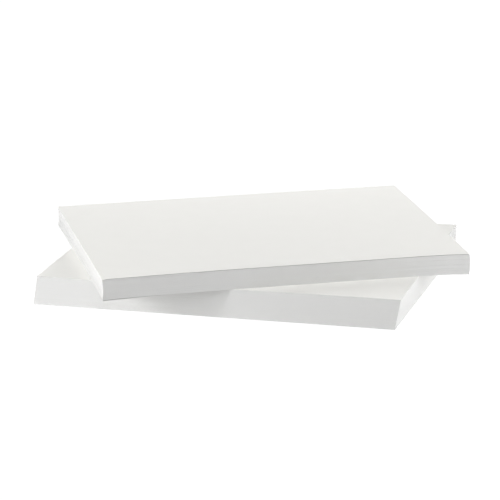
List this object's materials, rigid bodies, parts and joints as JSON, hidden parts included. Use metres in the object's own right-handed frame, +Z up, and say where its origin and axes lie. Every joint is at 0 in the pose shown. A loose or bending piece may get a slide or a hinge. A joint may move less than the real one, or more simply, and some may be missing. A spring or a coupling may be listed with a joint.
{
  "type": "ream of paper",
  "caption": "Unwrapped ream of plain white letter paper, parted into a thick stack on the table and a thinner stack laid crosswise on it.",
  "frame": {"origin": "centre of the lower stack's bottom sheet, on the surface that the ream lies on", "axes": "+X along the long edge of the lower stack's bottom sheet, +Z up, through the thickness of both stacks"},
  "size_m": [0.3487, 0.3224, 0.037],
  "materials": {
    "lower_paper": "plain white uncoated sheets, matte, with fine lines along the cut edges",
    "upper_paper": "plain white uncoated sheets, matte, with fine lines along the cut edges"
  },
  "bodies": {
    "root": {"lower_stack": "lower_paper", "upper_stack": "upper_paper"}
  },
  "joints": []
}
